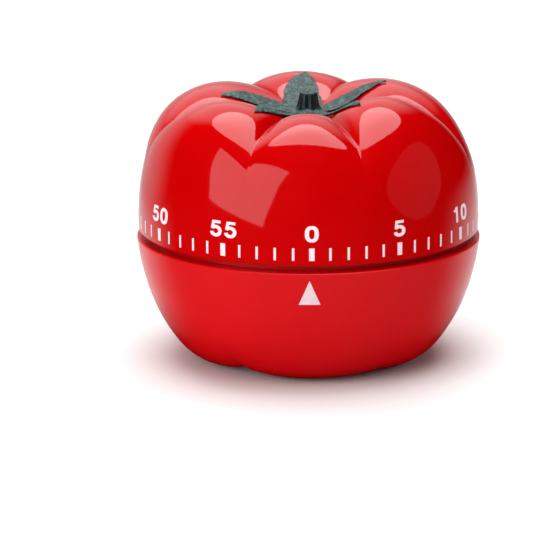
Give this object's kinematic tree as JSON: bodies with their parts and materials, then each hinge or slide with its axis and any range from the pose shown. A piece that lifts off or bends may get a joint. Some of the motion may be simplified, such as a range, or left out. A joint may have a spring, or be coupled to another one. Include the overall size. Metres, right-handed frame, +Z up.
{
  "type": "kitchen timer",
  "caption": "Tomato-shaped clockwork kitchen timer: lobed red dial that winds on a bowl-shaped base, green calyx, and a spring-driven gear movement with a bell.",
  "frame": {"origin": "centre of the underside, on the surface that the timer stands on", "axes": "+Z up along the dial's axis; -Y is the front, where the pointer mark is; +X to the right seen from the front"},
  "size_m": [0.063, 0.063, 0.0506],
  "materials": {
    "dial_red": "gloss",
    "base_red": "satin",
    "cover_red": "matte",
    "calyx_green": "wrinkled",
    "plate_steel": "brushed",
    "arbor_steel": "polished",
    "screw_steel": "satin",
    "wheel_brass": "satin",
    "spring_blue": "blued",
    "bell_steel": "polished"
  },
  "bodies": {
    "base": {"base_shell": "base_red", "bottom_cover": "cover_red", "cover_screw_1": "screw_steel", "cover_screw_2": "screw_steel", "cover_screw_3": "screw_steel", "bottom_plate": "plate_steel", "top_plate": "plate_steel", "pillar_1": "wheel_brass", "pillar_2": "wheel_brass", "pillar_3": "wheel_brass", "pillar_screw_1": "screw_steel", "pillar_screw_2": "screw_steel", "pillar_screw_3": "screw_steel", "movement_screw_1": "screw_steel", "movement_screw_2": "screw_steel", "movement_screw_3": "screw_steel", "spring_barrel": "plate_steel", "bell": "bell_steel", "bell_post": "wheel_brass", "bell_screw": "screw_steel"},
    "dial": {"dial_shell": "dial_red", "calyx": "calyx_green", "main_arbor": "arbor_steel", "great_wheel": "wheel_brass", "clutch_washer": "spring_blue", "let_off_cam": "wheel_brass", "stop_pin": "arbor_steel", "mainspring": "spring_blue"},
    "second": {"second_arbor": "arbor_steel", "second_wheel": "wheel_brass"},
    "third": {"third_arbor": "arbor_steel", "third_wheel": "wheel_brass"},
    "escape": {"escape_arbor": "arbor_steel", "escape_wheel": "wheel_brass"},
    "strike": {"strike_arbor": "arbor_steel", "strike_wheel": "wheel_brass"},
    "verge": {"verge_arbor": "arbor_steel", "pallet_lever": "wheel_brass", "balance_bar": "wheel_brass"},
    "hammer_body": {"hammer_arbor": "arbor_steel", "hammer": "plate_steel", "hammer_pallet": "plate_steel"},
    "release": {"release_arbor": "arbor_steel", "release_lever": "plate_steel"}
  },
  "joints": [
    {"name": "dial_turn", "type": "hinge", "parent": "base", "child": "dial", "pos_m": [0, 0, 0.0239], "axis": [0, 0, -1], "range_deg": [0, 342], "stiffness_Nm_per_rad": 0.006, "springref_deg": -57.3, "deforming": ["mainspring"]},
    {"name": "second_turn", "type": "hinge", "parent": "base", "child": "second", "pos_m": [0, 0.01054, 0.023], "axis": [0, 0, -1], "range_deg": [-2056, 4]},
    {"name": "third_turn", "type": "hinge", "parent": "base", "child": "third", "pos_m": [0.00837, 0.00713, 0.023], "axis": [0, 0, -1], "range_deg": [-20, 10280]},
    {"name": "escape_turn", "type": "hinge", "parent": "base", "child": "escape", "pos_m": [0.01199, -0.00049, 0.023], "axis": [0, 0, -1], "range_deg": [-61680, 120]},
    {"name": "strike_turn", "type": "hinge", "parent": "base", "child": "strike", "pos_m": [-0.0036, -0.0099, 0.023], "axis": [0, 0, -1], "range_deg": [-2056, 4]},
    {"name": "pallet_rock", "type": "hinge", "parent": "base", "child": "verge", "pos_m": [0.01056, -0.0057, 0.023], "axis": [0, 0, 1], "range_deg": [-4, 4]},
    {"name": "hammer_swing", "type": "hinge", "parent": "base", "child": "hammer_body", "pos_m": [-0.0141, -0.00513, 0.02], "axis": [0, 0, 1], "range_deg": [-3, 7]},
    {"name": "release_swing", "type": "hinge", "parent": "base", "child": "release", "pos_m": [-0.00996, 0.00836, 0.023], "axis": [0, 0, -1], "range_deg": [0, 8]}
  ],
  "couplings": [
    {"joint": "second_turn", "follows": "dial_turn", "ratio": -6},
    {"joint": "third_turn", "follows": "dial_turn", "ratio": 30},
    {"joint": "escape_turn", "follows": "dial_turn", "ratio": -180},
    {"joint": "strike_turn", "follows": "dial_turn", "ratio": -6}
  ]
}
